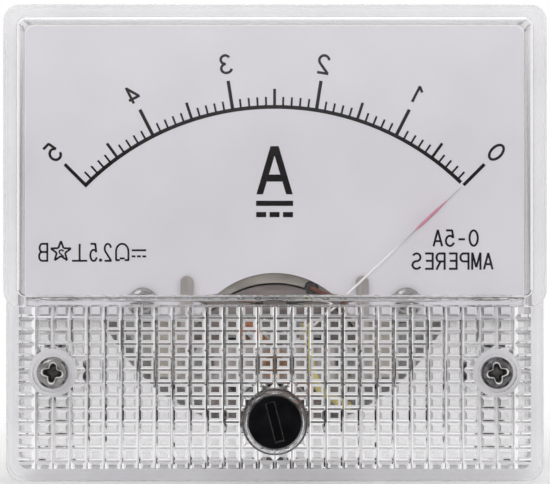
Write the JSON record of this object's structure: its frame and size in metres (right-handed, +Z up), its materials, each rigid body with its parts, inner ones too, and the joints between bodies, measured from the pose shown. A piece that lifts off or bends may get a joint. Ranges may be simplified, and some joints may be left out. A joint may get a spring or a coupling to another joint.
{
  "type": "analog panel meter",
  "caption": "Moving-coil panel ammeter: clear cover with a window over a printed dial, ribbed strip with slotted zero adjuster, round rear body with terminal and mounting studs.",
  "frame": {"origin": "centre of the round body on the panel plane, which is the rear face of the flange", "axes": "+X right and +Z up as seen from the front, +Y into the panel along the round body's axis"},
  "size_m": [0.064, 0.057, 0.0565],
  "materials": {
    "clear_plastic": "clear moulded polystyrene, polished",
    "white_plastic": "moulded, fine satin",
    "black_plastic": "moulded, semi-gloss",
    "nickel_screw": "nickel-plated steel",
    "brass": "turned brass",
    "resistance_alloy": "rolled manganin strip",
    "dial_paint": "matt white lacquer with black print",
    "magnet_alloy": "ground cast magnet alloy",
    "soft_iron": "machined soft iron",
    "die_cast_zinc": "die cast, streaked by machining",
    "steel": "hardened steel",
    "bridge_metal": "stamped sheet",
    "jewel": "polished synthetic stone",
    "aluminium": "thin stamped sheet",
    "copper_wire": "enamelled copper",
    "pointer_paint": "bright aluminium with a red lance",
    "spring_bronze": "phosphor bronze ribbon",
    "black_insulation": "sleeving",
    "yellow_insulation": "lead insulation"
  },
  "bodies": {
    "housing": {"front_cover": "clear_plastic", "cover_screws": "nickel_screw", "base": "white_plastic", "mounting_studs": "brass", "terminal_studs": "brass", "terminal_washers": "nickel_screw", "terminal_nuts": "brass", "shunt_strip": "resistance_alloy", "dial_plate": "dial_paint", "dial_screws": "nickel_screw", "dial_posts": "brass", "magnet": "magnet_alloy", "left_pole_piece": "soft_iron", "right_pole_piece": "soft_iron", "core": "soft_iron", "core_carrier": "die_cast_zinc", "stop_pins": "steel", "front_bridge": "bridge_metal", "front_bridge_screws": "nickel_screw", "rear_bridge": "die_cast_zinc", "rear_bridge_screws": "nickel_screw", "front_jewel": "jewel", "rear_jewel": "jewel", "front_jewel_screw": "brass", "rear_jewel_screw": "brass", "front_locknut": "brass", "rear_locknut": "brass", "rear_hairspring": "spring_bronze", "lead_sleeve": "black_insulation", "lead_wire": "copper_wire", "yellow_lead": "yellow_insulation"},
    "moving_coil": {"coil_frame": "aluminium", "coil_winding": "copper_wire", "front_pivot": "steel", "rear_pivot": "steel", "pointer": "pointer_paint", "pointer_hub": "aluminium", "balance_weights": "brass"},
    "zero_lever": {"zero_lever": "bridge_metal", "front_hairspring": "spring_bronze"},
    "zero_adjuster": {"zero_adjuster": "black_plastic"}
  },
  "joints": [
    {"name": "pointer_deflection", "type": "hinge", "parent": "housing", "child": "moving_coil", "pos_m": [0, -0.005, -0.0145], "axis": [0, -1, 0], "range_deg": [-2.5, 96.4], "stiffness_Nm_per_rad": 0.00002},
    {"name": "zero_adjuster_turn", "type": "hinge", "parent": "housing", "child": "zero_adjuster", "pos_m": [0, -0.0102, -0.0213], "axis": [0, -1, 0], "range_deg": [-40, 40]},
    {"name": "zero_lever_swing", "type": "hinge", "parent": "housing", "child": "zero_lever", "pos_m": [0, -0.007, -0.0145], "axis": [0, -1, 0], "range_deg": [-8, 8]}
  ],
  "couplings": [
    {"joint": "zero_lever_swing", "follows": "zero_adjuster_turn", "ratio": -0.19}
  ]
}
